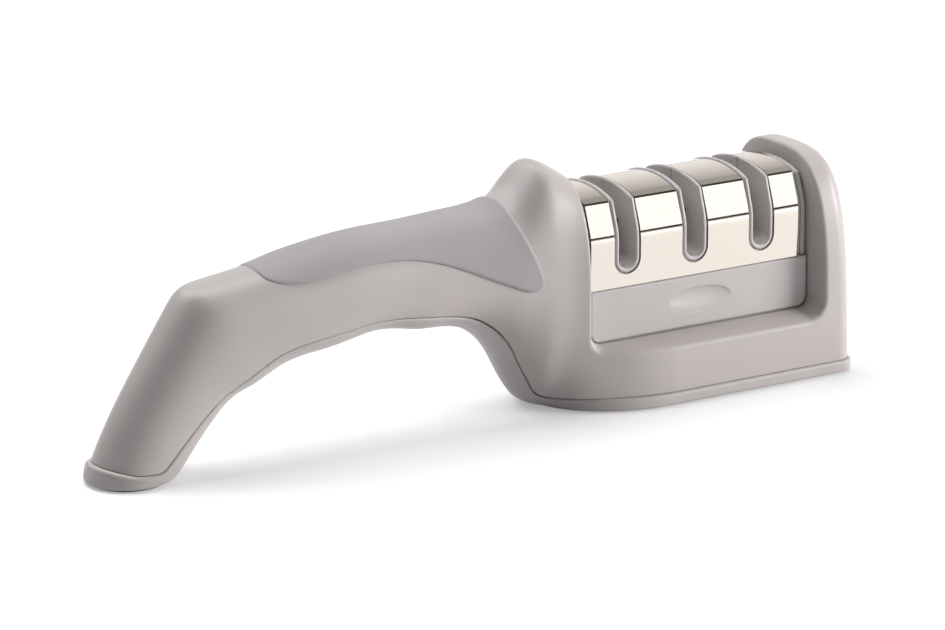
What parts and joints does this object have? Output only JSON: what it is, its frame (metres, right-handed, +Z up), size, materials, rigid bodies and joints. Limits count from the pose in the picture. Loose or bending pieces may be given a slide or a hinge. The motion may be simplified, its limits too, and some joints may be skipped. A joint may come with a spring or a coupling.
{
  "type": "pull through knife sharpener",
  "caption": "Hand-held pull-through knife sharpener: arched handle on a foot and a base, with a lift-out head that has slots under a polished steel cover.",
  "frame": {"origin": "on the ground, at the centre of the object's footprint", "axes": "+X from the foot along the handle towards the nose, -Y the side seen in the picture, +Z up"},
  "size_m": [0.22, 0.046, 0.0658],
  "materials": {
    "housing": "satin, fine moulded grain, warm light grey",
    "inlay": "matte soft-touch elastomer, light grey",
    "pads": "matte non-slip rubber, dark grey",
    "screws": "zinc-plated steel",
    "case": "satin moulded plastic, light grey",
    "cover": "mirror-polished stainless steel sheet",
    "holders": "moulded plastic, near black",
    "diamond": "steel rods with a fine diamond coating",
    "carbide": "ground tungsten carbide",
    "ceramic": "fine white ceramic"
  },
  "bodies": {
    "housing": {"upper_housing": "housing", "lower_housing": "housing", "grip_inlay": "inlay", "base_pads": "pads", "foot_pad": "pads", "base_screws": "screws", "foot_screw": "screws"},
    "head": {"front_case": "case", "rear_case": "case", "steel_cover": "cover", "head_floor": "case", "head_screws": "screws", "diamond_holder": "holders", "diamond_rods_outer": "diamond", "diamond_rod_middle": "diamond", "carbide_holder": "holders", "carbide_blade_front": "carbide", "carbide_blade_rear": "carbide", "carbide_screw": "screws", "carbide_nut": "screws", "ceramic_holder": "holders", "ceramic_rods_outer": "ceramic", "ceramic_rod_middle": "ceramic"}
  },
  "joints": [
    {"name": "head_lift", "type": "slide", "parent": "housing", "child": "head", "axis": [0, 0, 1], "range_m": [0, 0.055]}
  ]
}
